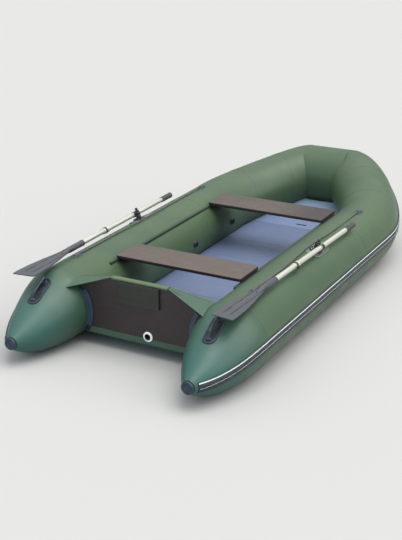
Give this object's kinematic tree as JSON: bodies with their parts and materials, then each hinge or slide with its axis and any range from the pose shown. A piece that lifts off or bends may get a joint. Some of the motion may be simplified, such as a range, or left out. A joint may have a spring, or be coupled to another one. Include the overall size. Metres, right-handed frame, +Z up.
{
  "type": "inflatable boat",
  "caption": "Inflatable boat with tapered tube ends, a wooden transom, a boarded floor, sliding bench seats, grab ropes and oars held in tilting oarlocks.",
  "frame": {"origin": "middle of the boat's box, on the level that the tubes lie on", "axes": "+Y to the bow, +X to starboard, +Z up"},
  "size_m": [1.5076, 3.2888, 0.5374],
  "materials": {
    "tube_fabric": "satin",
    "inner_fabric": "matte",
    "strake_rubber": "satin",
    "cap_rubber": "satin",
    "handle_rubber": "satin",
    "floor_panel": "matte",
    "transom_wood": "satin",
    "seat_wood": "satin",
    "black_plastic": "satin",
    "grey_rubber": "matte",
    "pale_trim": "satin",
    "valve_white": "gloss",
    "valve_black": "gloss",
    "blade_plastic": "satin",
    "shaft_metal": "satin",
    "grip_rubber": "matte",
    "steel": "satin",
    "rope": "matte"
  },
  "bodies": {
    "hull": {"port_tube": "tube_fabric", "starboard_tube": "tube_fabric", "bow_tube": "tube_fabric", "bulkheads": "inner_fabric", "tail_caps": "cap_rubber", "bottom_skin": "tube_fabric", "floor_board_1": "floor_panel", "floor_board_2": "floor_panel", "floor_board_3": "floor_panel", "floor_board_4": "floor_panel", "floor_board_5": "floor_panel", "floor_board_6": "floor_panel", "bow_floor_board": "floor_panel", "transom_board": "transom_wood", "motor_pad": "transom_wood", "motor_plate": "black_plastic", "transom_holders": "strake_rubber", "transom_tape": "tube_fabric", "transom_trim": "pale_trim", "gussets": "tube_fabric", "drain_valve": "valve_white", "side_strakes": "strake_rubber", "bow_strake": "strake_rubber", "carry_pads": "handle_rubber", "carry_handles": "handle_rubber", "seat_rails": "inner_fabric", "oarlock_pads": "grey_rubber", "oarlock_bases": "black_plastic", "port_rope": "rope", "starboard_rope": "rope", "rope_patches": "grey_rubber", "valve_bodies": "valve_black", "tow_patch": "handle_rubber"},
    "aft_seat": {"aft_seat": "seat_wood", "aft_seat_clips": "black_plastic"},
    "forward_seat": {"forward_seat": "seat_wood", "forward_seat_clips": "black_plastic"},
    "drain_plug": {"drain_plug": "valve_black"},
    "port_yoke": {"port_yoke": "black_plastic"},
    "port_oar": {"port_oar_ring": "black_plastic", "port_blade": "blade_plastic", "port_lower_shaft": "shaft_metal", "port_collar": "black_plastic", "port_upper_shaft": "shaft_metal", "port_grip": "grip_rubber"},
    "port_button": {"port_button": "steel"},
    "port_knob": {"port_knob": "black_plastic"},
    "starboard_yoke": {"starboard_yoke": "black_plastic"},
    "starboard_oar": {"starboard_oar_ring": "black_plastic", "starboard_blade": "blade_plastic", "starboard_lower_shaft": "shaft_metal", "starboard_collar": "black_plastic", "starboard_upper_shaft": "shaft_metal", "starboard_grip": "grip_rubber"},
    "starboard_button": {"starboard_button": "steel"},
    "starboard_knob": {"starboard_knob": "black_plastic"},
    "port_valve_cap": {"port_valve_cap": "valve_black"},
    "starboard_valve_cap": {"starboard_valve_cap": "valve_black"},
    "bow_valve_cap": {"bow_valve_cap": "valve_black"},
    "tow_ring": {"tow_ring": "steel"}
  },
  "joints": [
    {"name": "aft_seat_slide", "type": "slide", "parent": "hull", "child": "aft_seat", "axis": [0, 1, 0], "range_m": [-0.05, 0.25]},
    {"name": "forward_seat_slide", "type": "slide", "parent": "hull", "child": "forward_seat", "axis": [0, 1, 0], "range_m": [-0.25, 0.03]},
    {"name": "port_oar_tilt", "type": "hinge", "parent": "hull", "child": "port_yoke", "pos_m": [-0.60488, -0.22265, 0.41317], "axis": [0, 1, 0], "range_deg": [-12, 12]},
    {"name": "port_oar_swing", "type": "hinge", "parent": "port_yoke", "child": "port_oar", "pos_m": [-0.60488, -0.22265, 0.41317], "axis": [-0.2924, 0, 0.9563], "range_deg": [-115, 0]},
    {"name": "port_knob_turn", "type": "hinge", "parent": "port_yoke", "child": "port_knob", "pos_m": [-0.60488, -0.22265, 0.41317], "axis": [-0.2924, 0, 0.9563], "range_deg": [0, 180]},
    {"name": "port_button_press", "type": "slide", "parent": "port_oar", "child": "port_button", "axis": [0.9997, 0.0244, 0], "range_m": [0, 0.003], "stiffness_N_per_m": 900, "springref_m": -0.001},
    {"name": "starboard_oar_tilt", "type": "hinge", "parent": "hull", "child": "starboard_yoke", "pos_m": [0.60488, -0.22265, 0.41317], "axis": [0, 1, 0], "range_deg": [-12, 12]},
    {"name": "starboard_oar_swing", "type": "hinge", "parent": "starboard_yoke", "child": "starboard_oar", "pos_m": [0.60488, -0.22265, 0.41317], "axis": [0.2924, 0, 0.9563], "range_deg": [0, 115]},
    {"name": "starboard_knob_turn", "type": "hinge", "parent": "starboard_yoke", "child": "starboard_knob", "pos_m": [0.60488, -0.22265, 0.41317], "axis": [0.2924, 0, 0.9563], "range_deg": [0, 180]},
    {"name": "starboard_button_press", "type": "slide", "parent": "starboard_oar", "child": "starboard_button", "axis": [-0.9997, 0.0244, 0], "range_m": [0, 0.003], "stiffness_N_per_m": 900, "springref_m": -0.001},
    {"name": "port_valve_cap_turn", "type": "hinge", "parent": "hull", "child": "port_valve_cap", "pos_m": [-0.3365, 0.02435, 0.20422], "axis": [1, 0, 0], "range_deg": [0, 90]},
    {"name": "starboard_valve_cap_turn", "type": "hinge", "parent": "hull", "child": "starboard_valve_cap", "pos_m": [0.3365, 0.02435, 0.20422], "axis": [1, 0, 0], "range_deg": [0, 90]},
    {"name": "bow_valve_cap_turn", "type": "hinge", "parent": "hull", "child": "bow_valve_cap", "pos_m": [-0.3365, 0.53635, 0.20422], "axis": [1, 0, 0], "range_deg": [0, 90]},
    {"name": "drain_plug_pull", "type": "slide", "parent": "hull", "child": "drain_plug", "axis": [0, 1, 0], "range_m": [0, 0.03]},
    {"name": "tow_ring_swing", "type": "hinge", "parent": "hull", "child": "tow_ring", "pos_m": [0, 1.62146, 0.22346], "axis": [1, 0, 0], "range_deg": [-20, 110]}
  ]
}
